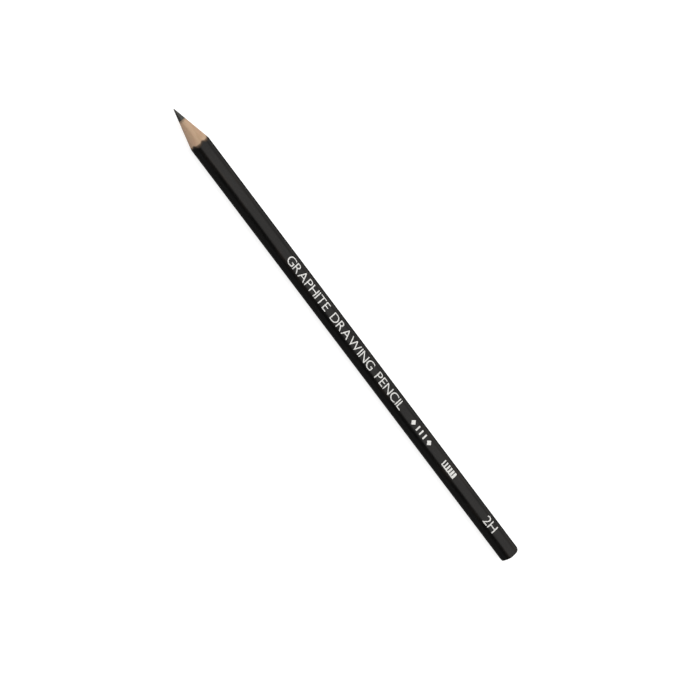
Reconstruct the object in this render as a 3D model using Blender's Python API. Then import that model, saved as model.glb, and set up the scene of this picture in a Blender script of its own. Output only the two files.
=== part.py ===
"""Sharpened hexagonal graphite pencil, lying on one flat with its stamped flat upwards.

Frame: metres, +Z up, the pencil's axis along X, its writing point at -X and its butt end at +X.
The origin is on the surface that the pencil lies on, under the middle of its length.
Every piece is modelled about the pencil's own axis and hangs from one empty on that axis.
"""
import math

import bmesh
import bpy
from mathutils import Vector

MM = 0.001

# ---- Driving dimensions -------------------------------------------------------------------------
LENGTH = 176.0 * MM             # point to butt end
ACROSS_FLATS = 6.2 * MM         # over the lacquer
CORNER_RADIUS = 2.2 * MM        # of the lacquered long edges
CORE_RADIUS = 1.05 * MM         # 2.1 mm lead
CONE_TANGENT = 0.235            # of half the sharpened angle, which is 26.4 degrees in all
POINT_RADIUS = 0.17 * MM        # of the ball that the point is worn to

LACQUER_THICKNESS = 0.07 * MM
PRIMER_THICKNESS = 0.03 * MM
BOND_THICKNESS = 0.04 * MM      # adhesive round the lead
GLUE_THICKNESS = 0.06 * MM      # adhesive between the two slats
FOIL_THICKNESS = 0.02 * MM
GAP = 0.01 * MM                 # clearance between neighbouring layers

DIP_THICKNESS = 0.29 * MM       # of the end coat over the end grain
DIP_SKIRT = 0.79 * MM           # how far the end coat reaches up the barrel
DIP_ROUNDING = 0.55 * MM        # of the end coat's edge

# ---- Stamped marks, from the point end to the butt end along the upper flat ---------------------
STAMP_OFFSET = -0.12 * MM       # their middle from the middle of the flat, round the barrel
TITLE = ("GRAPHITE", "DRAWING", "PENCIL")
TITLE_HEIGHT = 2.7 * MM
TITLE_START = -32.0 * MM
TITLE_END = 27.1 * MM
WORD_SPACE = 2.3 * MM
LETTER_SPACE = 0.42 * MM
LETTER_WEIGHT = -0.006          # added to the plain letters' outline all round, in font units

LOZENGE_PLACES = (33.0 * MM, 41.3 * MM)
LOZENGE_HALF_LENGTH = 0.95 * MM
LOZENGE_HALF_HEIGHT = 0.97 * MM
DASH_PLACES = (35.4 * MM, 37.15 * MM, 38.9 * MM)
DASH_HALF_WIDTH = 0.27 * MM
DASH_HALF_HEIGHT = 0.92 * MM

SCALE_START = 49.1 * MM         # little scale of bars, from thin to broad
SCALE_PITCH = 1.05 * MM
SCALE_HEIGHT = 2.05 * MM
SCALE_BASE = 0.36 * MM          # height of the strip that joins the bars
SCALE_SHARES = (0.40, 0.48, 0.56, 0.64, 0.72, 0.80)     # of the pitch that each bar fills

GRADE = "2H"
GRADE_HEIGHT = 2.8 * MM
GRADE_START = 72.1 * MM
GRADE_END = 77.4 * MM

# ---- Facets -------------------------------------------------------------------------------------
FLAT_STEPS = 6
CORNER_STEPS = 6
CORE_STEPS = 40
DIP_STEPS = 4
BALL_LATITUDES = (math.radians(30), math.radians(60))
LETTER_RESOLUTION = 3
FACET_EDGE = math.radians(10)   # a sharper edge than this is drawn sharp
ROUNDED_EDGE = math.radians(35)

# ---- Worked out from those ----------------------------------------------------------------------
SIXTH = math.pi / 3
TOP = math.pi / 2
APOTHEM = ACROSS_FLATS / 2
CORNER_CENTRE = (APOTHEM - CORNER_RADIUS) / math.cos(SIXTH / 2)
FLAT_HALF_WIDTH = (APOTHEM - CORNER_RADIUS) * math.tan(SIXTH / 2)
AXIS_HEIGHT = APOTHEM
POINT_X = -LENGTH / 2
BUTT_X = LENGTH / 2
CONE_HALF_ANGLE = math.atan(CONE_TANGENT)
APEX_X = POINT_X - POINT_RADIUS * (1 / math.sin(CONE_HALF_ANGLE) - 1)
LACQUER_INSIDE = APOTHEM - LACQUER_THICKNESS
PRIMER_OUTSIDE = LACQUER_INSIDE - GAP
PRIMER_INSIDE = PRIMER_OUTSIDE - PRIMER_THICKNESS
WOOD_OUTSIDE = PRIMER_INSIDE - GAP
BOND_INSIDE = CORE_RADIUS + GAP
BOND_OUTSIDE = BOND_INSIDE + BOND_THICKNESS
GROOVE_RADIUS = BOND_OUTSIDE + GAP
GLUE_HALF = GLUE_THICKNESS / 2
SLAT_FACE = GLUE_HALF + GAP
WOOD_END_X = BUTT_X - DIP_THICKNESS - GAP
SKIRT_X = BUTT_X - DIP_SKIRT
LACQUER_END_X = SKIRT_X - GAP


# ---- Cross-sections -----------------------------------------------------------------------------
def hexagon_radius(angle, apothem):
    """Distance from the axis to a layer at a polar angle; its flats face 30, 90, 150... degrees.

    Every layer is a parallel offset of the lacquer's outside, so they share their corner centres.
    """
    off_corner = abs((angle + SIXTH / 2) % SIXTH - SIXTH / 2)
    off_flat = SIXTH / 2 - off_corner
    if apothem * math.tan(off_flat) <= FLAT_HALF_WIDTH:
        return apothem / math.cos(off_flat)
    rounding = CORNER_RADIUS - (APOTHEM - apothem)
    across = CORNER_CENTRE * math.sin(off_corner)
    return CORNER_CENTRE * math.cos(off_corner) + math.sqrt(rounding ** 2 - across ** 2)


def facet_angles():
    """Polar angles of the long facets' edges, the same for every layer, going round from 0."""
    half_flat = math.atan(FLAT_HALF_WIDTH / APOTHEM)
    half_corner = SIXTH / 2 - half_flat
    angles = []
    for side in range(6):
        corner = side * SIXTH
        flat = corner + SIXTH / 2
        for step in range(CORNER_STEPS):
            angles.append(corner + half_corner * (2 * step / CORNER_STEPS - 1))
        for step in range(FLAT_STEPS):
            angles.append(flat + half_flat * (2 * step / FLAT_STEPS - 1))
    return sorted(angle % math.tau for angle in angles)


ANGLES = facet_angles()
CORE_ANGLES = [math.tau * step / CORE_STEPS for step in range(CORE_STEPS)]


def cone_x(radius):
    """Where the sharpened cone has that radius."""
    return APEX_X + radius / CONE_TANGENT


def ring(angles, radii, x=None):
    """Points round the axis, in the plane at x or, where x isn't given, on the sharpened cone."""
    return [Vector((cone_x(radius) if x is None else x, radius * math.cos(angle), radius * math.sin(angle)))
            for angle, radius in zip(angles, radii)]


def hexagon_ring(apothem, x=None):
    return ring(ANGLES, [hexagon_radius(angle, apothem) for angle in ANGLES], x)


def round_ring(radius, x=None, angles=ANGLES):
    return ring(angles, [radius] * len(angles), x)


# ---- Meshes, objects and materials --------------------------------------------------------------
def add_loop(bm, points):
    return [bm.verts.new(point) for point in points]


def bridge(bm, first, second):
    """Quads between two closed loops of as many points."""
    for i in range(len(first)):
        j = (i + 1) % len(first)
        bm.faces.new((first[i], first[j], second[j], second[i]))


def make_object(name, bm, material, axis, sharp_edge=FACET_EDGE):
    bmesh.ops.recalc_face_normals(bm, faces=bm.faces)
    mesh = bpy.data.meshes.new(name)
    bm.to_mesh(mesh)
    bm.free()
    mesh.materials.append(material)
    mesh.shade_smooth()
    mesh.set_sharp_from_angle(angle=sharp_edge)
    obj = bpy.data.objects.new(name, mesh)
    obj.parent = axis
    bpy.context.scene.collection.objects.link(obj)
    return obj


def make_material(name, colour, roughness, metallic=0.0, coat=0.0):
    material = bpy.data.materials.new(name)
    material.use_nodes = True
    shader = material.node_tree.nodes["Principled BSDF"]
    shader.inputs["Base Color"].default_value = (*colour, 1.0)
    shader.inputs["Roughness"].default_value = roughness
    shader.inputs["Metallic"].default_value = metallic
    shader.inputs["Coat Weight"].default_value = coat
    material.diffuse_color = (*colour, 1.0)
    return material


# ---- Lead, wood, glue and lacquer ---------------------------------------------------------------
def make_core(material, axis):
    """Fired graphite and clay rod, from the worn ball at its point to the end grain."""
    ball_x = POINT_X + POINT_RADIUS
    bm = bmesh.new()
    loops = [add_loop(bm, round_ring(POINT_RADIUS * math.sin(turn), ball_x - POINT_RADIUS * math.cos(turn),
                                     CORE_ANGLES)) for turn in BALL_LATITUDES]
    loops.append(add_loop(bm, round_ring(POINT_RADIUS * math.cos(CONE_HALF_ANGLE), angles=CORE_ANGLES)))
    loops.append(add_loop(bm, round_ring(CORE_RADIUS, angles=CORE_ANGLES)))
    loops.append(add_loop(bm, round_ring(CORE_RADIUS, WOOD_END_X, CORE_ANGLES)))
    for first, second in zip(loops, loops[1:]):
        bridge(bm, first, second)
    tip = bm.verts.new((POINT_X, 0, 0))
    for vert, after in zip(loops[0], loops[0][1:] + loops[0][:1]):
        bm.faces.new((vert, after, tip))
    bm.faces.new(loops[-1])
    return make_object("graphite_core", bm, material, axis, ROUNDED_EDGE)


def make_sleeve(name, ring_of, inside, outside, end_x, material, axis):
    """Thin coat round the axis, from the sharpened cone to end_x."""
    bm = bmesh.new()
    loops = [add_loop(bm, points) for points in (
        ring_of(outside), ring_of(outside, end_x), ring_of(inside, end_x), ring_of(inside))]
    for first, second in zip(loops, loops[1:] + loops[:1]):
        bridge(bm, first, second)
    return make_object(name, bm, material, axis)


def half_section(radius_at):
    """(y, z) round the half of a layer above the joint between the slats, from its +Y edge to its -Y edge."""
    edge = math.sqrt(radius_at(0) ** 2 - SLAT_FACE ** 2)
    above = [(radius_at(angle) * math.cos(angle), radius_at(angle) * math.sin(angle)) for angle in ANGLES]
    return [(edge, SLAT_FACE)] + [(y, z) for y, z in above if z > SLAT_FACE] + [(-edge, SLAT_FACE)]


def make_slat(name, side, material, axis):
    """Half of the wooden casing: side is 1 above the glued joint and -1 below it."""
    bm = bmesh.new()
    rows = {}
    for layer, section in (("outside", half_section(lambda angle: hexagon_radius(angle, WOOD_OUTSIDE))),
                           ("groove", half_section(lambda angle: GROOVE_RADIUS))):
        rows[layer, "front"] = [bm.verts.new((cone_x(math.hypot(y, z)), y, side * z)) for y, z in section]
        rows[layer, "back"] = [bm.verts.new((WOOD_END_X, y, side * z)) for y, z in section]
    round_order = [("outside", "front"), ("outside", "back"), ("groove", "back"), ("groove", "front")]
    for here, there in zip(round_order, round_order[1:] + round_order[:1]):
        first = rows[here]
        second = rows[there]
        for i in range(len(first) - 1):
            bm.faces.new((first[i], first[i + 1], second[i + 1], second[i]))
    for edge in (0, -1):
        bm.faces.new([rows[key][edge] for key in round_order])
    return make_object(name, bm, material, axis)


def make_glue_line(name, side, material, axis):
    """Film of adhesive between the slats, from the lead's groove to the long edge on the side of +Y or -Y."""
    near = GROOVE_RADIUS
    far = hexagon_radius(0, WOOD_OUTSIDE) - GAP
    outline = ((cone_x(near), near), (cone_x(far), far), (WOOD_END_X, far), (WOOD_END_X, near))
    bm = bmesh.new()
    faces = [add_loop(bm, [(x, side * y, z) for x, y in outline]) for z in (-GLUE_HALF, GLUE_HALF)]
    bridge(bm, *faces)
    for face in faces:
        bm.faces.new(face)
    return make_object(name, bm, material, axis)


def make_end_dip(material, axis):
    """Cup of lacquer over the end grain, with a rounded edge round a flat end face."""
    cup = PRIMER_OUTSIDE + GAP
    points = [hexagon_ring(cup, BUTT_X - DIP_THICKNESS), hexagon_ring(cup, SKIRT_X),
              hexagon_ring(APOTHEM, SKIRT_X)]
    for step in range(DIP_STEPS + 1):
        turn = math.pi / 2 * step / DIP_STEPS
        points.append(hexagon_ring(APOTHEM - DIP_ROUNDING * (1 - math.cos(turn)),
                                   BUTT_X - DIP_ROUNDING * (1 - math.sin(turn))))
    bm = bmesh.new()
    loops = [add_loop(bm, loop) for loop in points]
    for first, second in zip(loops, loops[1:]):
        bridge(bm, first, second)
    bm.faces.new(loops[0])
    bm.faces.new(loops[-1])
    return make_object("end_dip", bm, material, axis, ROUNDED_EDGE)


# ---- Stamped foil -------------------------------------------------------------------------------
class BarrelTop:
    """The lacquer's facets near the upper flat, as a strip to lay flat shapes on."""

    REACH = math.radians(62)

    def __init__(self):
        near = [angle for angle in ANGLES if abs(angle - TOP) < self.REACH]
        points = ring(near, [hexagon_radius(angle, APOTHEM) for angle in near], 0)
        self.points = sorted(points, key=lambda point: point.y)
        self.normals = [self.normal(point) for point in self.points]
        self.ways = [0.0]
        for before, point in zip(self.points, self.points[1:]):
            self.ways.append(self.ways[-1] + (point - before).length)
        middle = self.ways[-1] / 2
        self.ways = [way - middle for way in self.ways]

    @staticmethod
    def normal(point):
        """Outward direction at a facet's edge: straight up on the flat, radial on a rounded corner."""
        if abs(point.y) <= FLAT_HALF_WIDTH:
            return Vector((0, 0, 1))
        angle = TOP - math.copysign(SIXTH / 2, point.y)
        centre = Vector((0, CORNER_CENTRE * math.cos(angle), CORNER_CENTRE * math.sin(angle)))
        return (point - centre).normalized()

    def place(self, x, way, height):
        """The point that far round from the middle of the flat towards +Y, and that high above the facets."""
        last = len(self.ways) - 2
        facet = min(max(sum(edge <= way for edge in self.ways) - 1, 0), last)
        share = (way - self.ways[facet]) / (self.ways[facet + 1] - self.ways[facet])
        raised = [self.points[i] + self.normals[i] * height for i in (facet, facet + 1)]
        spot = raised[0].lerp(raised[1], share)
        return Vector((x, spot.y, spot.z))


BARREL_TOP = BarrelTop()
MERGE_DISTANCE = 0.002 * MM
SHORTEST_EDGE = 0.018 * MM
STRAIGHT_ENOUGH = math.radians(1)


def stamp(name, bm, material, axis):
    """Turns a flat shape, with x along the barrel and y round it, into a film of foil on the facets."""
    bmesh.ops.remove_doubles(bm, verts=bm.verts, dist=MERGE_DISTANCE)
    bmesh.ops.dissolve_limit(bm, angle_limit=STRAIGHT_ENOUGH, verts=bm.verts, edges=bm.edges)
    for way in BARREL_TOP.ways:
        bmesh.ops.bisect_plane(bm, geom=bm.verts[:] + bm.edges[:] + bm.faces[:], dist=MERGE_DISTANCE / 2,
                               plane_co=(0, way - STAMP_OFFSET, 0), plane_no=(0, 1, 0))
    bmesh.ops.remove_doubles(bm, verts=bm.verts, dist=SHORTEST_EDGE)
    bmesh.ops.triangulate(bm, faces=bm.faces)
    bmesh.ops.beautify_fill(bm, faces=bm.faces, edges=bm.edges, method="ANGLE")
    raised = bmesh.ops.extrude_face_region(bm, geom=bm.faces[:], use_keep_orig=True)
    top = {item for item in raised["geom"] if isinstance(item, bmesh.types.BMVert)}
    for vert in bm.verts:
        height = GAP + (FOIL_THICKNESS if vert in top else 0.0)
        vert.co = BARREL_TOP.place(vert.co.x, vert.co.y + STAMP_OFFSET, height)
    return make_object(name, bm, material, axis)


def flat_outline(points):
    bm = bmesh.new()
    bm.faces.new([bm.verts.new((x, y, 0)) for x, y in points])
    return bm


def letter_mesh(letter):
    """Blender's plain built-in letter, filled flat."""
    curve = bpy.data.curves.new("letter", "FONT")
    curve.body = letter
    curve.fill_mode = "FRONT"
    curve.resolution_u = LETTER_RESOLUTION
    curve.offset = LETTER_WEIGHT
    helper = bpy.data.objects.new("letter", curve)
    bpy.context.scene.collection.objects.link(helper)
    evaluated = helper.evaluated_get(bpy.context.evaluated_depsgraph_get())
    bm = bmesh.new()
    bm.from_mesh(evaluated.to_mesh())
    evaluated.to_mesh_clear()
    bpy.data.objects.remove(helper)
    bpy.data.curves.remove(curve)
    return bm


def reach(bm, direction):
    values = [vert.co[direction] for vert in bm.verts]
    return min(values), max(values)


def stamp_lettering(words, height, start, end, material, axis):
    """Words stamped letter by letter, each as broad as it takes to fill the stretch from start to end."""
    low, high = reach(letter_mesh("H"), 1)
    tallness = height / (high - low)
    letters = [[letter_mesh(letter) for letter in word] for word in words]
    natural = sum(reach(bm, 0)[1] - reach(bm, 0)[0] for meshes in letters for bm in meshes)
    spaces = WORD_SPACE * (len(words) - 1) + LETTER_SPACE * sum(len(word) - 1 for word in words)
    broadness = (end - start - spaces) / natural
    x = start
    for word, meshes in zip(words, letters):
        for number, (letter, bm) in enumerate(zip(word, meshes), 1):
            left, right = reach(bm, 0)
            for vert in bm.verts:
                vert.co.x = x + broadness * (vert.co.x - left)
                vert.co.y = tallness * (vert.co.y - (low + high) / 2)
            stamp(f"foil_{word.lower()}_{number}_{letter}", bm, material, axis)
            x += broadness * (right - left) + LETTER_SPACE
        x += WORD_SPACE - LETTER_SPACE


def stamp_ornament(material, axis):
    """Two lozenges with three upright dashes between them."""
    for name, x in zip(("left", "right"), LOZENGE_PLACES):
        lozenge = [(x - LOZENGE_HALF_LENGTH, 0), (x, -LOZENGE_HALF_HEIGHT),
                   (x + LOZENGE_HALF_LENGTH, 0), (x, LOZENGE_HALF_HEIGHT)]
        stamp(f"foil_lozenge_{name}", flat_outline(lozenge), material, axis)
    for number, x in enumerate(DASH_PLACES, 1):
        dash = [(x + side * DASH_HALF_WIDTH, side * end * DASH_HALF_HEIGHT)
                for side in (-1, 1) for end in (-1, 1)]
        stamp(f"foil_dash_{number}", flat_outline(dash), material, axis)


def stamp_scale(material, axis):
    """Bars from thin to broad, standing on one strip."""
    bottom = -SCALE_HEIGHT / 2
    shelf = bottom + SCALE_BASE
    top = SCALE_HEIGHT / 2
    outline = [(SCALE_START, bottom)]
    for bar, share in enumerate(SCALE_SHARES):
        left = SCALE_START + bar * SCALE_PITCH
        right = left + share * SCALE_PITCH
        outline += [(left, shelf), (left, top), (right, top), (right, shelf)]
    outline.append((right, bottom))
    stamp("foil_line_scale", flat_outline(outline), material, axis)


def main():
    for obj in list(bpy.data.objects):
        bpy.data.objects.remove(obj)

    graphite = make_material("graphite", (0.055, 0.055, 0.052), 0.42, metallic=0.3)
    cedar = make_material("cedar", (0.46, 0.31, 0.21), 0.75)
    glue = make_material("glue", (0.30, 0.20, 0.12), 0.6)
    primer = make_material("primer", (0.06, 0.035, 0.02), 0.7)
    lacquer = make_material("lacquer", (0.012, 0.012, 0.012), 0.25, coat=0.5)
    foil = make_material("foil", (0.75, 0.74, 0.72), 0.35)

    axis = bpy.data.objects.new("pencil_axis", None)
    axis.location = (0, 0, AXIS_HEIGHT)
    bpy.context.scene.collection.objects.link(axis)

    make_core(graphite, axis)
    make_sleeve("core_bond", round_ring, BOND_INSIDE, BOND_OUTSIDE, WOOD_END_X, glue, axis)
    make_slat("casing_slat_upper", 1, cedar, axis)
    make_slat("casing_slat_lower", -1, cedar, axis)
    make_glue_line("glue_line_front", -1, glue, axis)
    make_glue_line("glue_line_rear", 1, glue, axis)
    make_sleeve("primer_coat", hexagon_ring, PRIMER_INSIDE, PRIMER_OUTSIDE, WOOD_END_X, primer, axis)
    make_sleeve("lacquer_coat", hexagon_ring, LACQUER_INSIDE, APOTHEM, LACQUER_END_X, lacquer, axis)
    make_end_dip(lacquer, axis)
    stamp_lettering(TITLE, TITLE_HEIGHT, TITLE_START, TITLE_END, foil, axis)
    stamp_ornament(foil, axis)
    stamp_scale(foil, axis)
    stamp_lettering([GRADE], GRADE_HEIGHT, GRADE_START, GRADE_END, foil, axis)


main()
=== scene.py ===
"""The looks of the graphite pencil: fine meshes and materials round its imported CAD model.

Everything is in metres in the model's frame: the pencil's axis along X at AXIS_Z, its point at -X,
its stamped flat facing +Z. `angle` is measured round the axis from +Y towards +Z, and `way` is the
distance round the surface from the middle of the stamped flat, towards +Y.
"""
import math

import bmesh
import bpy
from mathutils import Matrix, Vector, noise


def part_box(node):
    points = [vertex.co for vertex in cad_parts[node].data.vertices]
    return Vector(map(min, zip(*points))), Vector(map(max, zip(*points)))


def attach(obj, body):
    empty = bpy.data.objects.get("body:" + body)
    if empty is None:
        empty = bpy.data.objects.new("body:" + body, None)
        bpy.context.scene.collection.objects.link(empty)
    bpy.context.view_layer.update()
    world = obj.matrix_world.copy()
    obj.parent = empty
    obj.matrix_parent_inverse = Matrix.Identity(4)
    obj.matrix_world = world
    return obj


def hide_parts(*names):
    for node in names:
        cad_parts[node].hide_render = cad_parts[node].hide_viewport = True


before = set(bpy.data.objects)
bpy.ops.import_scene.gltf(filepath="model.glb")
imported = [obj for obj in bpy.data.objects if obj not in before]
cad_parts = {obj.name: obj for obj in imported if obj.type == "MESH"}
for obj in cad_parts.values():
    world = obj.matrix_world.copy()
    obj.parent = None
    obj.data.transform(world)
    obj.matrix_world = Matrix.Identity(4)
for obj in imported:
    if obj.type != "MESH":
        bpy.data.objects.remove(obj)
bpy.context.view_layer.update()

MM = 0.001
SIXTH = math.pi / 3

# ---- Sizes read from the frame ------------------------------------------------------------------
COAT_LOW, COAT_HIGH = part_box("lacquer_coat")
CORE_LOW, CORE_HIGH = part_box("graphite_core")
SLAT_LOW, SLAT_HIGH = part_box("casing_slat_upper")
PRIMER_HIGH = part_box("primer_coat")[1]
DIP_LOW, DIP_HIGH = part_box("end_dip")

APOTHEM = (COAT_HIGH.z - COAT_LOW.z) / 2
AXIS_Z = (COAT_HIGH.z + COAT_LOW.z) / 2
SHARP_CORNER = APOTHEM / math.cos(SIXTH / 2)
CORNER_RADIUS = (SHARP_CORNER - COAT_HIGH.y) / (SHARP_CORNER / APOTHEM - 1)
CORNER_CENTRE = (APOTHEM - CORNER_RADIUS) / math.cos(SIXTH / 2)
FLAT_HALF_WIDTH = (APOTHEM - CORNER_RADIUS) * math.tan(SIXTH / 2)
CORE_RADIUS = CORE_HIGH.y
WOOD_APOTHEM = SLAT_HIGH.z - AXIS_Z
PRIMER_APOTHEM = PRIMER_HIGH.z - AXIS_Z
SLAT_FACE = SLAT_LOW.z - AXIS_Z
POINT_X = CORE_LOW.x
CORE_END_X = CORE_HIGH.x
COAT_END_X = COAT_HIGH.x
SKIRT_X = DIP_LOW.x
BUTT_X = DIP_HIGH.x

# ---- Sizes shared with the CAD source -----------------------------------------------------------
CONE_TANGENT = 0.235
POINT_RADIUS = 0.17 * MM
LAYER_GAP = 0.01 * MM
GROOVE_CLEARANCE = 0.06 * MM        # from the lead's surface to the wood's groove
DIP_THICKNESS = 0.29 * MM
LETTER_WEIGHT = -0.006

CONE_ANGLE = math.atan(CONE_TANGENT)
APEX_X = POINT_X - POINT_RADIUS * (1 / math.sin(CONE_ANGLE) - 1)
GROOVE_RADIUS = CORE_RADIUS + GROOVE_CLEARANCE
COAT_INSIDE = PRIMER_APOTHEM + LAYER_GAP

RIM = "to_lacquer"      # attribute of the wood: how much farther out the lacquer's edge is, in mm

# ---- Fineness of the meshes ---------------------------------------------------------------------
BARREL_STEPS = 240
SLAT_STEPS = 150
WOOD_STATIONS = 100
LEAD_STEPS = 120
LEAD_STATIONS = 70
BALL_STEPS = 6
DIP_STEPS = 12
DOME_RINGS = 8
GLYPH_RESOLUTION = 12
GLYPH_STRIP = 0.12 * MM
GLYPH_SLICE = 0.5 * MM
GLYPH_MERGE = 0.0005        # in the font's own units
CUT_MERGE = 0.0005 * MM
# Rings of the barrel behind the lacquer's cut edge, in mm: close together at first, then even.
COAT_RINGS = [0, 0.02, 0.05, 0.1, 0.2, 0.4, 0.8, 1.4, 2.2]
COAT_RINGS += [3.2 + 1.4 * step for step in range(114)]
LAST_RING_CLEARANCE = 0.5 * MM

# ---- Sharpest angles that are still drawn smooth ------------------------------------------------
SMOOTH_PLAIN = math.radians(32)
SMOOTH_WOOD = math.radians(22)
SMOOTH_COAT = math.radians(24)
SMOOTH_DIP = math.radians(40)

# ---- Small irregularities -----------------------------------------------------------------------
LONG_WAVE = 0.0035 * MM             # of the lacquer
SHORT_WAVE = 0.0012 * MM
COAT_SHRINKAGE = 0.003 * MM         # keeps those waves inside the CAD model
RAGGED_COARSE = 0.03 * MM           # of the lacquer's cut edge, along X
RAGGED_FINE = 0.012 * MM
EDGE_SINK = 0.015 * MM              # of the lacquer's surface at its cut edge
GRINDING_FLATS = 0.012              # of the lead, in mm
GRINDING_RINGS = 0.0035
DIP_INSET = 0.48 * MM               # rounding of the dipped end, over its face
DIP_DEPTH = 0.48 * MM               # the same, along X
WORN_INSET = 0.45 * MM              # what the rounder front side adds to each
WORN_DEPTH = 0.22 * MM
DIP_DOME = 0.05 * MM
RIM_FADE = 0.06                     # shares over which the wood's relief fades at its edges
JOINT_FADE = 0.12
FOIL_TOP = 0.012 * MM               # over the lacquer
FOIL_UNDERSIDE = -0.004 * MM


# ---- Surfaces -----------------------------------------------------------------------------------
def cone_x(radius):
    return APEX_X + radius / CONE_TANGENT


def hexagon_radius(angle, apothem):
    """Distance from the axis to a layer of the rounded hexagon, which has a flat on top."""
    off_corner = abs((angle + SIXTH / 2) % SIXTH - SIXTH / 2)
    off_flat = SIXTH / 2 - off_corner
    if apothem * math.tan(off_flat) <= FLAT_HALF_WIDTH:
        return apothem / math.cos(off_flat)
    rounding = CORNER_RADIUS - (APOTHEM - apothem)
    across = CORNER_CENTRE * math.sin(off_corner)
    return CORNER_CENTRE * math.cos(off_corner) + math.sqrt(rounding ** 2 - across ** 2)


def unevenness(x, angle):
    """Slow waviness of the dipped and drawn lacquer, in metres outward."""
    ring = Vector((math.cos(angle), math.sin(angle), 0)) * 1.6
    long_wave = noise.noise(Vector((x / (14 * MM), ring.x, ring.y)))
    short_wave = noise.noise(Vector((x / (4 * MM) + 9, 2.4 * ring.x, 2.4 * ring.y)))
    return LONG_WAVE * long_wave + SHORT_WAVE * short_wave - COAT_SHRINKAGE


def lacquer_surface(x, angle):
    """Distance from the axis to the outside of the lacquer."""
    return hexagon_radius(angle, APOTHEM) + unevenness(x, angle)


def at(x, radius, angle):
    return Vector((x, radius * math.cos(angle), AXIS_Z + radius * math.sin(angle)))


def turns(count):
    return [math.tau * step / count for step in range(count)]


def smooth(low, high, value):
    share = min(max((value - low) / (high - low), 0.0), 1.0)
    return share * share * (3 - 2 * share)


# ---- Mesh building ------------------------------------------------------------------------------
def add_loop(bm, points):
    return [bm.verts.new(point) for point in points]


def bridge(bm, first, second, material=0, closed=True):
    count = len(first)
    for i in range(count if closed else count - 1):
        j = (i + 1) % count
        bm.faces.new((first[i], first[j], second[j], second[i])).material_index = material


def fan(bm, loop, middle):
    hub = bm.verts.new(middle)
    for vert, after in zip(loop, loop[1:] + loop[:1]):
        bm.faces.new((vert, after, hub))


def finish_piece(name, bm, materials, replaced, sharp_edge=SMOOTH_PLAIN):
    bmesh.ops.recalc_face_normals(bm, faces=bm.faces)
    mesh = bpy.data.meshes.new(name)
    bm.to_mesh(mesh)
    bm.free()
    for material in materials:
        mesh.materials.append(material)
    mesh.shade_smooth()
    mesh.set_sharp_from_angle(angle=sharp_edge)
    piece = bpy.data.objects.new(name, mesh)
    bpy.context.scene.collection.objects.link(piece)
    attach(piece, "root")
    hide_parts(replaced)


# ---- Node graphs --------------------------------------------------------------------------------
class Graph:
    """Short names for the shader nodes that the materials below are made of."""

    def __init__(self, name, **sockets):
        self.material = bpy.data.materials.new(name)
        self.material.use_nodes = True
        self.tree = self.material.node_tree
        self.shader = self.tree.nodes["Principled BSDF"]
        for socket, value in sockets.items():
            self.shader.inputs[socket.replace("_", " ")].default_value = value
        place = self.node("ShaderNodeTexCoord").outputs["Object"]
        centred = self.vector("SUBTRACT", place, (0, 0, AXIS_Z))
        self.place = self.vector("SCALE", centred, scale=1 / MM)
        split = self.node("ShaderNodeSeparateXYZ")
        self.link(self.place, split.inputs[0])
        self.x, self.y, self.z = split.outputs
        across = self.math("MULTIPLY", self.y, self.y)
        up = self.math("MULTIPLY", self.z, self.z)
        self.radius = self.math("SQRT", self.math("ADD", across, up))

    def node(self, kind, **settings):
        made = self.tree.nodes.new(kind)
        for setting, value in settings.items():
            setattr(made, setting, value)
        return made

    def link(self, source, target):
        if hasattr(source, "links"):
            self.tree.links.new(source, target)
        else:
            target.default_value = source

    def math(self, operation, *values):
        made = self.node("ShaderNodeMath", operation=operation)
        for value, target in zip(values, made.inputs):
            self.link(value, target)
        return made.outputs[0]

    def vector(self, operation, *values, scale=None):
        made = self.node("ShaderNodeVectorMath", operation=operation)
        for value, target in zip(values, made.inputs):
            self.link(value, target)
        if scale is not None:
            made.inputs["Scale"].default_value = scale
        return made.outputs[0]

    def noise(self, per_mm, detail=2.0, roughness=0.5, shift=0.0):
        """Noise between 0 and 1 with per_mm features a millimetre along X, Y and Z."""
        stretched = self.vector("MULTIPLY", self.place, per_mm)
        moved = self.vector("ADD", stretched, (shift, shift, shift))
        made = self.node("ShaderNodeTexNoise")
        self.link(moved, made.inputs["Vector"])
        made.inputs["Scale"].default_value = 1.0
        made.inputs["Detail"].default_value = detail
        made.inputs["Roughness"].default_value = roughness
        return made.outputs["Fac"]

    def steps(self, value, low, high, to_low=0.0, to_high=1.0):
        """value taken smoothly from low..high to to_low..to_high."""
        made = self.node("ShaderNodeMapRange", interpolation_type="SMOOTHSTEP")
        for source, socket in zip((value, low, high, to_low, to_high), made.inputs):
            self.link(source, socket)
        return made.outputs[0]

    def blend(self, share, first, second):
        made = self.node("ShaderNodeMix", data_type="RGBA")
        self.link(share, made.inputs[0])
        self.link(first if hasattr(first, "links") else (*first, 1.0), made.inputs[6])
        self.link(second if hasattr(second, "links") else (*second, 1.0), made.inputs[7])
        return made.outputs[2]

    def bump(self, height, depth, strength=1.0, under=None):
        """A bump whose height of 0 to 1 stands depth metres tall."""
        made = self.node("ShaderNodeBump")
        made.inputs["Strength"].default_value = strength
        made.inputs["Distance"].default_value = depth
        self.link(height, made.inputs["Height"])
        if under:
            self.link(under, made.inputs["Normal"])
        return made.outputs[0]

    def finish(self, colour=None, roughness=None, normal=None):
        for value, socket in ((colour, "Base Color"), (roughness, "Roughness"), (normal, "Normal")):
            if value:
                self.link(value, self.shader.inputs[socket])
        return self.material


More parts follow.
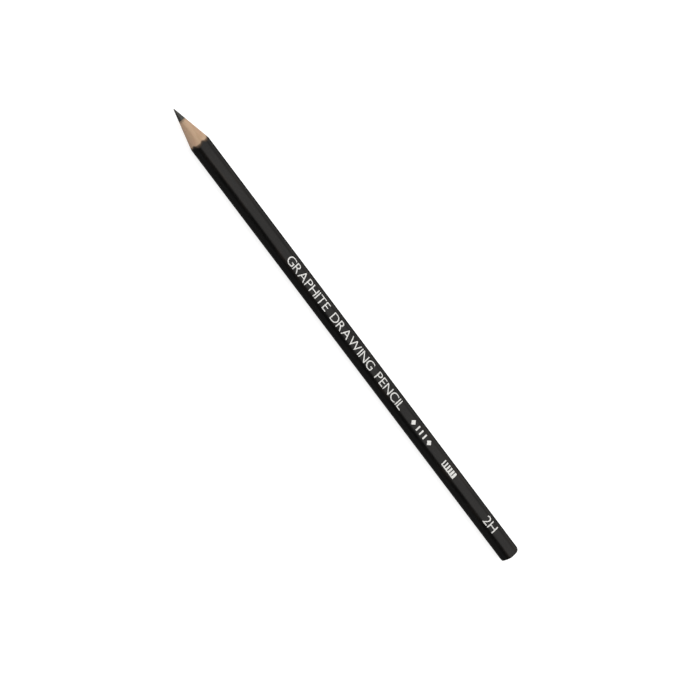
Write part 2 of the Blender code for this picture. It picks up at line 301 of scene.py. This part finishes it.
# ---- Materials ----------------------------------------------------------------------------------
def lacquer_material():
    """Black lacquer: drawn lengthways, faintly wavy and scuffed, browner on thin corners."""
    g = Graph("black_lacquer", IOR=1.5)
    patches = g.noise((0.09, 0.5, 0.5), detail=3)
    flow = g.noise((0.03, 1.6, 1.6), detail=2, shift=17)
    draw_lines = g.noise((0.05, 7.0, 7.0), detail=3, roughness=0.6, shift=3)
    peel = g.noise((2.2, 2.6, 2.6), detail=2, shift=7)
    scratches = g.steps(g.noise((0.35, 14.0, 14.0), detail=1, shift=12), 0.62, 0.74)
    dust = g.steps(g.noise((6.0, 6.0, 6.0), detail=1, shift=21), 0.77, 0.81)
    corner = (CORNER_CENTRE + CORNER_RADIUS) / MM
    thin = g.math("MULTIPLY", g.steps(g.radius, corner - 0.07, corner), g.steps(patches, 0.4, 0.7))
    colour = g.blend(patches, (0.0018, 0.0017, 0.0016), (0.0030, 0.0028, 0.0026))
    colour = g.blend(g.math("MULTIPLY", thin, 0.7), colour, (0.013, 0.0090, 0.0065))
    colour = g.blend(g.math("MULTIPLY", scratches, 0.5), colour, (0.012, 0.0115, 0.011))
    colour = g.blend(g.math("MULTIPLY", dust, 0.5), colour, (0.090, 0.086, 0.080))
    roughness = g.steps(patches, 0.25, 0.8, 0.26, 0.33)
    roughness = g.math("MULTIPLY_ADD", scratches, 0.10, roughness)
    roughness = g.math("MULTIPLY_ADD", dust, 0.30, roughness)
    roughness = g.math("MULTIPLY_ADD", draw_lines, 0.03, roughness)
    shine = g.math("MULTIPLY_ADD", draw_lines, 0.08, g.steps(patches, 0.25, 0.75, 0.43, 0.49))
    g.link(shine, g.shader.inputs["Specular IOR Level"])
    surface = g.bump(flow, 0.008 * MM, 0.8)
    surface = g.bump(draw_lines, 0.005 * MM, 0.8, under=surface)
    surface = g.bump(peel, 0.0035 * MM, 0.8, under=surface)
    return g.finish(colour, roughness, surface)


def cut_lacquer_material():
    """The lacquer's cut edge on the cone: matt, dark brown to black."""
    g = Graph("cut_lacquer")
    crumbs = g.noise((9.0, 9.0, 9.0), detail=3)
    colour = g.blend(crumbs, (0.012, 0.009, 0.007), (0.045, 0.030, 0.020))
    return g.finish(colour, g.steps(crumbs, 0.2, 0.8, 0.55, 0.8), g.bump(crumbs, 0.006 * MM))


def primer_material():
    g = Graph("dark_primer")
    crumbs = g.noise((8.0, 8.0, 8.0), detail=3, shift=2)
    colour = g.blend(crumbs, (0.030, 0.018, 0.011), (0.085, 0.052, 0.032))
    return g.finish(colour, g.steps(crumbs, 0.2, 0.8, 0.6, 0.85), g.bump(crumbs, 0.006 * MM))


def glue_material():
    g = Graph("dried_glue")
    smears = g.noise((1.5, 6.0, 6.0), detail=3, shift=5)
    colour = g.blend(smears, (0.20, 0.13, 0.08), (0.33, 0.23, 0.15))
    return g.finish(colour, g.steps(smears, 0.2, 0.8, 0.45, 0.7), g.bump(smears, 0.004 * MM))


def wood_material():
    """Pinkish-tan wood with its grain along X, darker in a ragged ring next to the lead, and
    stained by the lacquer.
    """
    g = Graph("casing_wood")
    drift = g.noise((0.10, 0.35, 0.35), detail=2, shift=4)
    ring_place = g.math("ADD", g.math("MULTIPLY", g.z, 0.62), g.math("MULTIPLY", g.y, 0.36))
    ring_place = g.math("ADD", ring_place, g.math("MULTIPLY", drift, 2.2))
    wave = g.math("SINE", g.math("MULTIPLY", ring_place, 5.4))
    rings = g.math("ADD", g.math("MULTIPLY", wave, 0.5), 0.5)
    late = g.steps(rings, 0.45, 1.0)
    fibres = g.noise((0.45, 11.0, 11.0), detail=4, roughness=0.6, shift=1)
    pores = g.steps(g.noise((0.8, 16.0, 16.0), detail=1, shift=6), 0.66, 0.76)
    blotches = g.noise((0.25, 0.8, 0.8), detail=2, shift=8)
    colour = g.blend(late, (0.470, 0.328, 0.213), (0.418, 0.281, 0.175))
    colour = g.blend(g.steps(blotches, 0.35, 0.7, 0.0, 0.5), colour, (0.520, 0.315, 0.225))
    colour = g.blend(g.steps(fibres, 0.3, 0.75, 0.0, 0.35), colour, (0.335, 0.215, 0.140))
    colour = g.blend(g.math("MULTIPLY", pores, 0.45), colour, (0.210, 0.120, 0.075))
    to_lacquer = g.node("ShaderNodeAttribute", attribute_name=RIM).outputs["Fac"]
    ragged = g.math("ADD", to_lacquer, g.steps(fibres, 0.2, 0.8, -0.03, 0.03))
    stain = g.math("MAXIMUM", g.steps(ragged, 0.09, 0.0), g.steps(g.radius, 2.97, 3.08))
    colour = g.blend(g.math("MULTIPLY", stain, 0.85), colour, (0.042, 0.028, 0.018))
    # Darkens the wood in a ragged ring next to the lead, fading outward from the groove.
    dark_ring_edge = g.steps(g.noise((0.5, 3.0, 3.0), detail=3, shift=11), 0.3, 0.75, 1.16, 1.42)
    dark_ring = g.steps(g.radius, dark_ring_edge, 1.09)
    colour = g.blend(g.math("MULTIPLY", dark_ring, 0.55), colour, (0.075, 0.070, 0.062))
    roughness = g.steps(fibres, 0.2, 0.8, 0.62, 0.82)
    tool_marks = g.noise((5.5, 0.5, 0.5), detail=2, shift=14)
    surface = g.bump(fibres, 0.012 * MM, 0.8)
    surface = g.bump(tool_marks, 0.004 * MM, 0.5, under=surface)
    return g.finish(colour, roughness, surface)


def graphite_material():
    """Ground lead: dull metallic grey with fine rings from grinding and brighter streaks."""
    g = Graph("graphite_lead", Metallic=0.18, IOR=1.6)
    grinding = g.noise((16.0, 1.2, 1.2), detail=3, roughness=0.6)
    grain = g.noise((20.0, 20.0, 20.0), detail=2, shift=3)
    streaks = g.noise((0.5, 3.5, 3.5), detail=2, shift=6)
    colour = g.blend(g.steps(streaks, 0.3, 0.7), (0.034, 0.034, 0.031), (0.058, 0.057, 0.052))
    colour = g.blend(g.steps(grain, 0.55, 0.8, 0.0, 0.5), colour, (0.075, 0.074, 0.069))
    roughness = g.steps(streaks, 0.25, 0.75, 0.50, 0.36)
    surface = g.bump(grinding, 0.005 * MM, 0.7)
    surface = g.bump(grain, 0.003 * MM, 0.6, under=surface)
    return g.finish(colour, roughness, surface)


def foil_material():
    """Pale pigment foil, thinned in places by the stamp, with pinholes down to the lacquer."""
    g = Graph("stamped_foil")
    cover = g.noise((5.0, 5.0, 5.0), detail=3, shift=2)
    pinholes = g.steps(g.noise((15.0, 15.0, 15.0), detail=2, shift=9), 0.66, 0.74)
    colour = g.blend(g.steps(cover, 0.3, 0.6), (0.50, 0.50, 0.49), (0.72, 0.715, 0.70))
    colour = g.blend(g.math("MULTIPLY", pinholes, 0.7), colour, (0.06, 0.058, 0.055))
    roughness = g.steps(cover, 0.3, 0.7, 0.5, 0.34)
    return g.finish(colour, roughness, g.bump(cover, 0.004 * MM))


# ---- Lead ---------------------------------------------------------------------------------------
def make_lead(material):
    """The lead from its worn point to the end grain, with faint flats left by the grinder."""
    angles = turns(LEAD_STEPS)

    def ground(x, radius):
        points = []
        for angle in angles:
            around = Vector((math.cos(angle), math.sin(angle), 0)) * 2.2
            flats = noise.noise(Vector((x / (3 * MM), around.x, around.y)))
            groove = noise.noise(Vector((x / (0.14 * MM), around.x / 2, around.y / 2)))
            depth = min(radius, CORE_RADIUS) / CORE_RADIUS
            lost = depth * MM * (GRINDING_FLATS * abs(flats) + GRINDING_RINGS * abs(groove))
            points.append(at(x, radius - lost, angle))
        return points

    bm = bmesh.new()
    ball_x = POINT_X + POINT_RADIUS
    ball_end = math.pi / 2 - CONE_ANGLE
    loops = []
    for step in range(1, BALL_STEPS):
        turn = ball_end * step / BALL_STEPS
        x = ball_x - POINT_RADIUS * math.cos(turn)
        loops.append(add_loop(bm, ground(x, POINT_RADIUS * math.sin(turn))))
    start = POINT_RADIUS * math.cos(CONE_ANGLE)
    for station in range(LEAD_STATIONS + 1):
        radius = start + (CORE_RADIUS - start) * station / LEAD_STATIONS
        loops.append(add_loop(bm, ground(cone_x(radius), radius)))
    loops.append(add_loop(bm, [at(cone_x(GROOVE_RADIUS), CORE_RADIUS, angle) for angle in angles]))
    loops.append(add_loop(bm, [at(CORE_END_X, CORE_RADIUS, angle) for angle in angles]))
    for first, second in zip(loops, loops[1:]):
        bridge(bm, first, second)
    fan(bm, loops[0], (POINT_X, 0, AXIS_Z))
    fan(bm, loops[-1], (CORE_END_X, 0, AXIS_Z))
    finish_piece("lead_ground", bm, [material], "graphite_core")


# ---- Wood ---------------------------------------------------------------------------------------
def fibre_height(x, radius, angle):
    """Relief of the cut wood: raised grain along X and shallow marks of the cutter across it."""
    y = radius * math.cos(angle)
    z = radius * math.sin(angle)
    grain = noise.noise(Vector((x / (2.6 * MM), y / (0.21 * MM), z / (0.21 * MM))))
    broad = noise.noise(Vector((x / (5 * MM), y / (0.8 * MM), z / (0.8 * MM) + 5)))
    cutter = math.sin(math.tau * x / (0.42 * MM) + angle)
    return MM * (0.006 * grain + 0.008 * broad + 0.0012 * cutter)


def make_slat(name, side, material, replaced):
    """Half of the casing: a fine cone in front, and plain hidden faces behind it."""

    def edge_angle(radius):
        return math.asin(SLAT_FACE / radius)

    def angle_at(step, radius):
        first = edge_angle(radius)
        return first + (math.pi - 2 * first) * step / SLAT_STEPS

    def row(share):
        """Points across the cone at that share of the way from the groove to the outside."""
        points = []
        for step in range(SLAT_STEPS + 1):
            outside = hexagon_radius(angle_at(step, WOOD_APOTHEM), WOOD_APOTHEM)
            radius = GROOVE_RADIUS + (outside - GROOVE_RADIUS) * share
            angle = angle_at(step, radius)
            round_share = step / SLAT_STEPS
            edges = smooth(0, RIM_FADE, share) * smooth(0, RIM_FADE, 1 - share)
            joint = smooth(0, JOINT_FADE, round_share) * smooth(0, JOINT_FADE, 1 - round_share)
            lift = fibre_height(cone_x(radius), radius, side * angle) * edges * joint
            x = cone_x(radius) - lift * math.sin(CONE_ANGLE)
            spot = at(x, radius + lift * math.cos(CONE_ANGLE), angle)
            points.append(Vector((spot.x, spot.y, AXIS_Z + side * (spot.z - AXIS_Z))))
        return points

    def back_row(radius_at):
        points = []
        for step in range(SLAT_STEPS + 1):
            angle = angle_at(step, radius_at(angle_at(step, WOOD_APOTHEM)))
            spot = at(CORE_END_X, radius_at(angle), angle)
            points.append(Vector((spot.x, spot.y, AXIS_Z + side * (spot.z - AXIS_Z))))
        return points

    bm = bmesh.new()
    rim = bm.verts.layers.float.new(RIM)
    rows = []
    for station in range(WOOD_STATIONS + 1):
        share = station / WOOD_STATIONS
        loop = add_loop(bm, row(share))
        for step, vert in enumerate(loop):
            outside = hexagon_radius(angle_at(step, WOOD_APOTHEM), WOOD_APOTHEM)
            vert[rim] = (outside - GROOVE_RADIUS) * (1 - share) / MM
        rows.append(loop)
    rows.append(add_loop(bm, back_row(lambda angle: hexagon_radius(angle, WOOD_APOTHEM))))
    rows.append(add_loop(bm, back_row(lambda angle: GROOVE_RADIUS)))
    for first, second in zip(rows, rows[1:] + rows[:1]):
        bridge(bm, first, second, closed=False)
    for end in (0, -1):
        bm.faces.new([loop[end] for loop in rows])
    bmesh.ops.triangulate(bm, faces=[face for face in bm.faces if len(face.verts) > 4])
    finish_piece(name, bm, [material], replaced, SMOOTH_WOOD)


# ---- Lacquer ------------------------------------------------------------------------------------
def coat_front(angle):
    """Where the cut edge of the lacquer runs: the cone's scallop, slightly ragged."""
    around = Vector((math.cos(angle), math.sin(angle), 0))
    ragged = noise.noise(around * 9) * RAGGED_COARSE + noise.noise(around * 31) * RAGGED_FINE
    return cone_x(hexagon_radius(angle, APOTHEM)) + ragged


def make_coat(lacquer, cut):
    """The barrel's lacquer, whose first band of faces is its cut edge on the cone."""
    angles = turns(BARREL_STEPS)
    inside = [hexagon_radius(angle, COAT_INSIDE) for angle in angles]
    back_off = (APOTHEM - COAT_INSIDE) / CONE_TANGENT
    bm = bmesh.new()
    loops = [add_loop(bm, [at(coat_front(angle) - back_off, radius, angle)
                           for angle, radius in zip(angles, inside)])]
    for offset in COAT_RINGS:
        sunk = EDGE_SINK * (1 - smooth(0, 0.12, offset))
        points = []
        for angle in angles:
            x = coat_front(angle) + offset * MM
            points.append(at(x, lacquer_surface(x, angle) - sunk, angle))
        if points[0].x < COAT_END_X - LAST_RING_CLEARANCE:
            loops.append(add_loop(bm, points))
    loops.append(add_loop(bm, [at(COAT_END_X, lacquer_surface(COAT_END_X, angle), angle)
                               for angle in angles]))
    loops.append(add_loop(bm, [at(COAT_END_X, radius, angle)
                               for angle, radius in zip(angles, inside)]))
    for number, (first, second) in enumerate(zip(loops, loops[1:] + loops[:1])):
        bridge(bm, first, second, material=1 if number == 0 else 0)
    finish_piece("lacquer_barrel", bm, [lacquer, cut], "lacquer_coat", SMOOTH_COAT)


def make_dip(lacquer):
    """The dipped end: a skirt, an edge that is rounder on the -Y side, and a faintly domed face."""
    angles = turns(BARREL_STEPS)
    inside = [hexagon_radius(angle, COAT_INSIDE) for angle in angles]

    def outside(angle, share):
        turn = math.pi / 2 * share
        worn = smooth(0.1, 1.0, -math.cos(angle))
        inset = (DIP_INSET + WORN_INSET * worn) * (1 - math.cos(turn))
        x = BUTT_X - DIP_DOME - (DIP_DEPTH + WORN_DEPTH * worn) * (1 - math.sin(turn))
        return at(x, lacquer_surface(x, angle) - inset, angle)

    bm = bmesh.new()
    loops = [add_loop(bm, [at(x, radius, angle) for angle, radius in zip(angles, inside)])
             for x in (BUTT_X - DIP_THICKNESS, SKIRT_X)]
    loops.append(add_loop(bm, [at(SKIRT_X, lacquer_surface(SKIRT_X, angle), angle)
                               for angle in angles]))
    for step in range(DIP_STEPS + 1):
        loops.append(add_loop(bm, [outside(angle, step / DIP_STEPS) for angle in angles]))
    rim = [outside(angle, 1) for angle in angles]
    for ring in range(1, DOME_RINGS):
        share = 1 - ring / DOME_RINGS
        x = BUTT_X - DIP_DOME * share * share
        loops.append(add_loop(bm, [(x, point.y * share, AXIS_Z + (point.z - AXIS_Z) * share)
                                   for point in rim]))
    for first, second in zip(loops, loops[1:]):
        bridge(bm, first, second)
    fan(bm, loops[-1], (BUTT_X, 0, AXIS_Z))
    fan(bm, loops[0], (BUTT_X - DIP_THICKNESS, 0, AXIS_Z))
    finish_piece("dipped_end", bm, [lacquer], "end_dip", SMOOTH_DIP)


# ---- Stamped foil -------------------------------------------------------------------------------
LETTERING = ("foil_graphite_", "foil_drawing_", "foil_pencil_", "foil_2h_")


def way_of(y):
    """Way round the top of the barrel to the surface point at that y."""
    if abs(y) <= FLAT_HALF_WIDTH:
        return y
    lean = math.asin(min((abs(y) - FLAT_HALF_WIDTH) / CORNER_RADIUS, 1.0))
    return math.copysign(FLAT_HALF_WIDTH + CORNER_RADIUS * lean, y)


def on_barrel(x, way, height):
    """The point that far round from the middle of the stamped flat, height over the lacquer."""
    beyond = max(abs(way) - FLAT_HALF_WIDTH, 0)
    lean = beyond / CORNER_RADIUS
    y = min(abs(way), FLAT_HALF_WIDTH) + (CORNER_RADIUS + height) * math.sin(lean)
    z = APOTHEM - CORNER_RADIUS + (CORNER_RADIUS + height) * math.cos(lean)
    y = math.copysign(y, way)
    lift = unevenness(x, math.atan2(z, y))
    return Vector((x, y, AXIS_Z + z + lift))


def glyph_mesh(letter):
    """Blender's plain built-in letter, filled flat."""
    curve = bpy.data.curves.new("glyph", "FONT")
    curve.body = letter
    curve.fill_mode = "FRONT"
    curve.resolution_u = GLYPH_RESOLUTION
    curve.offset = LETTER_WEIGHT
    helper = bpy.data.objects.new("glyph", curve)
    bpy.context.scene.collection.objects.link(helper)
    evaluated = helper.evaluated_get(bpy.context.evaluated_depsgraph_get())
    bm = bmesh.new()
    bm.from_mesh(evaluated.to_mesh())
    evaluated.to_mesh_clear()
    bpy.data.objects.remove(helper)
    bpy.data.curves.remove(curve)
    bmesh.ops.remove_doubles(bm, verts=bm.verts, dist=GLYPH_MERGE)
    bmesh.ops.dissolve_limit(bm, angle_limit=math.radians(0.5), verts=bm.verts, edges=bm.edges)
    return bm


def make_stamp(node, material):
    """One letter of foil, as large as its CAD node and bent round the barrel."""
    low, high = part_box(node)
    bm = glyph_mesh(node[-1])
    wanted = ((low.x, high.x), (way_of(low.y), way_of(high.y)))
    for direction, (start, end) in enumerate(wanted):
        values = [vert.co[direction] for vert in bm.verts]
        least = min(values)
        stretch = (end - start) / (max(values) - least)
        for vert in bm.verts:
            vert.co[direction] = start + stretch * (vert.co[direction] - least)
    across = (Vector((1, 0, 0)), Vector((0, 1, 0)))
    for normal, (start, end), step in zip(across, wanted, (GLYPH_SLICE, GLYPH_STRIP)):
        for number in range(1, math.ceil((end - start) / step)):
            everything = bm.verts[:] + bm.edges[:] + bm.faces[:]
            bmesh.ops.bisect_plane(bm, geom=everything, dist=CUT_MERGE,
                                   plane_co=normal * (start + number * step), plane_no=normal)
    bmesh.ops.triangulate(bm, faces=bm.faces)
    raised = bmesh.ops.extrude_face_region(bm, geom=bm.faces[:], use_keep_orig=True)
    top = {item for item in raised["geom"] if isinstance(item, bmesh.types.BMVert)}
    for vert in bm.verts:
        height = FOIL_TOP if vert in top else FOIL_UNDERSIDE
        vert.co = on_barrel(vert.co.x, vert.co.y, height)
    finish_piece(node.replace("foil_", "stamp_"), bm, [material], node)


# ---- Stage --------------------------------------------------------------------------------------
FLOOR_HALF_SIZE = 4
FLOOR_GLOW = 0.85           # keeps the floor white without lighting the pencil's edges
BOX_DISTANCE = 1.5
ROOM_LIGHT = 0.28
ROOM_SEEN = 0.88            # behind the floor's far edge
ROOM_REFLECTED = 0.036
# Name, lean, size in metres, radiance, colour, and whether only the gloss sees it.
SOFT_BOXES = (
    ("diffuse_box", math.radians(15), (1.8, 1.6), 3.1, (1.0, 0.99, 0.96), False),
    ("reflected_top", math.radians(5), (6.0, 2.1), 0.80, (1.0, 0.97, 0.94), True),
    ("reflected_side", math.radians(75), (6.0, 2.1), 0.37, (1.0, 0.97, 0.94), True),
)


def make_floor():
    g = Graph("pale_floor", Roughness=0.7)
    fibre = g.noise((0.6, 0.6, 0.6), detail=3)
    g.shader.inputs["Emission Color"].default_value = (1, 1, 1, 1)
    g.shader.inputs["Emission Strength"].default_value = FLOOR_GLOW
    colour = g.blend(fibre, (0.28, 0.28, 0.28), (0.32, 0.32, 0.32))
    material = g.finish(colour, normal=g.bump(fibre, 0.01 * MM, 0.3))
    bm = bmesh.new()
    bmesh.ops.create_grid(bm, x_segments=1, y_segments=1, size=FLOOR_HALF_SIZE)
    mesh = bpy.data.meshes.new("floor")
    bm.to_mesh(mesh)
    bm.free()
    mesh.materials.append(material)
    floor = bpy.data.objects.new("floor", mesh)
    bpy.context.scene.collection.objects.link(floor)
    floor.visible_glossy = False


def make_soft_box(name, lean, size, radiance, colour, glossy):
    """A soft box along X, leaning from overhead towards +Y, for the gloss or for all else."""
    outward = Vector((0, math.sin(lean), math.cos(lean)))
    along = Vector((1, 0, 0))
    across = outward.cross(along)
    light = bpy.data.lights.new(name, "AREA")
    light.shape = "RECTANGLE"
    light.size, light.size_y = size
    light.energy = radiance * math.pi * light.size * light.size_y
    light.color = colour
    lamp = bpy.data.objects.new(name, light)
    place = Matrix.Translation(outward * BOX_DISTANCE)
    lamp.matrix_world = place @ Matrix((along, across, outward)).transposed().to_4x4()
    bpy.context.scene.collection.objects.link(lamp)
    lamp.visible_glossy = glossy
    lamp.visible_diffuse = not glossy
    lamp.visible_camera = False


def reflected_strength(tree):
    """How bright the room is in the gloss: dim above, a little brighter low down and in front."""
    direction = tree.nodes.new("ShaderNodeTexCoord").outputs["Generated"]
    split = tree.nodes.new("ShaderNodeSeparateXYZ")
    tree.links.new(direction, split.inputs[0])

    def ramp(value, limits):
        made = tree.nodes.new("ShaderNodeMapRange")
        made.interpolation_type = "SMOOTHSTEP"
        tree.links.new(value, made.inputs["Value"])
        for socket, limit in zip(("From Min", "From Max", "To Min", "To Max"), limits):
            made.inputs[socket].default_value = limit
        return made.outputs[0]

    low = ramp(split.outputs["Z"], (0.25, -0.25, 0.0, 1.0))
    front = ramp(split.outputs["Y"], (0.4, -0.6, 0.016, 0.088))
    added = tree.nodes.new("ShaderNodeMath")
    added.operation = "MULTIPLY_ADD"
    tree.links.new(low, added.inputs[0])
    tree.links.new(front, added.inputs[1])
    added.inputs[2].default_value = ROOM_REFLECTED
    return added.outputs[0]


def make_world():
    """White to the camera, dim and uneven in the gloss, and an even fill for everything else."""
    world = bpy.data.worlds.new("studio")
    world.use_nodes = True
    tree = world.node_tree
    tree.nodes.clear()
    path = tree.nodes.new("ShaderNodeLightPath")

    def background(strength):
        made = tree.nodes.new("ShaderNodeBackground")
        made.inputs["Color"].default_value = (1.0, 1.0, 1.0, 1.0)
        if hasattr(strength, "links"):
            tree.links.new(strength, made.inputs["Strength"])
        else:
            made.inputs["Strength"].default_value = strength
        return made.outputs[0]

    def choose(ray, otherwise, then):
        made = tree.nodes.new("ShaderNodeMixShader")
        tree.links.new(path.outputs[ray], made.inputs[0])
        tree.links.new(otherwise, made.inputs[1])
        tree.links.new(then, made.inputs[2])
        return made.outputs[0]

    plain = choose("Is Camera Ray", background(ROOM_LIGHT), background(ROOM_SEEN))
    both = choose("Is Glossy Ray", plain, background(reflected_strength(tree)))
    out = tree.nodes.new("ShaderNodeOutputWorld")
    tree.links.new(both, out.inputs["Surface"])
    bpy.context.scene.world = world


# ---- Camera -------------------------------------------------------------------------------------
CAMERA_DISTANCE = 0.8
POINT_NEARER = math.radians(17)         # how far the view leans towards the point end
FRONT_LEAN = math.radians(18)           # how far it leans off the stamped flat, towards -Y
ROLL = math.atan2(0.79796, 0.60271)     # the axis runs down the picture at this slope
METRES_ACROSS = 0.2115                  # width of the view at the pencil
# Of the picture's middle from the pencil's, right and up.
FRAMING = Vector((0.846 * MM, -3.323 * MM))


def make_camera():
    back = Vector((-math.sin(POINT_NEARER), -math.sin(FRONT_LEAN) * math.cos(POINT_NEARER),
                   math.cos(FRONT_LEAN) * math.cos(POINT_NEARER)))
    axis = (Vector((1, 0, 0)) - back * back.x).normalized()
    beside = back.cross(axis)
    right = axis * math.cos(ROLL) + beside * math.sin(ROLL)
    up = back.cross(right)
    data = bpy.data.cameras.new("camera")
    data.sensor_width = 36
    data.lens = data.sensor_width * CAMERA_DISTANCE / METRES_ACROSS
    camera = bpy.data.objects.new("camera", data)
    bpy.context.scene.collection.objects.link(camera)
    place = Vector((0, 0, AXIS_Z)) + back * CAMERA_DISTANCE + right * FRAMING.x + up * FRAMING.y
    turned = Matrix((right, up, back)).transposed().to_4x4()
    camera.matrix_world = Matrix.Translation(place) @ turned
    bpy.context.scene.camera = camera


def give_material(piece, material):
    piece.data.materials.clear()
    piece.data.materials.append(material)


def main():
    bpy.context.scene.view_settings.view_transform = "Standard"
    lacquer = lacquer_material()
    foil = foil_material()
    wood = wood_material()
    make_lead(graphite_material())
    make_slat("slat_upper", 1, wood, "casing_slat_upper")
    make_slat("slat_lower", -1, wood, "casing_slat_lower")
    make_coat(lacquer, cut_lacquer_material())
    make_dip(lacquer)
    glue = glue_material()
    kept = {"core_bond": glue, "glue_line_front": glue, "glue_line_rear": glue,
            "primer_coat": primer_material()}
    for node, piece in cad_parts.items():
        if node.startswith(LETTERING):
            make_stamp(node, foil)
        elif node.startswith("foil_"):
            give_material(piece, foil)
        elif node in kept:
            give_material(piece, kept[node])
    make_floor()
    make_world()
    for box in SOFT_BOXES:
        make_soft_box(*box)
    make_camera()


main()
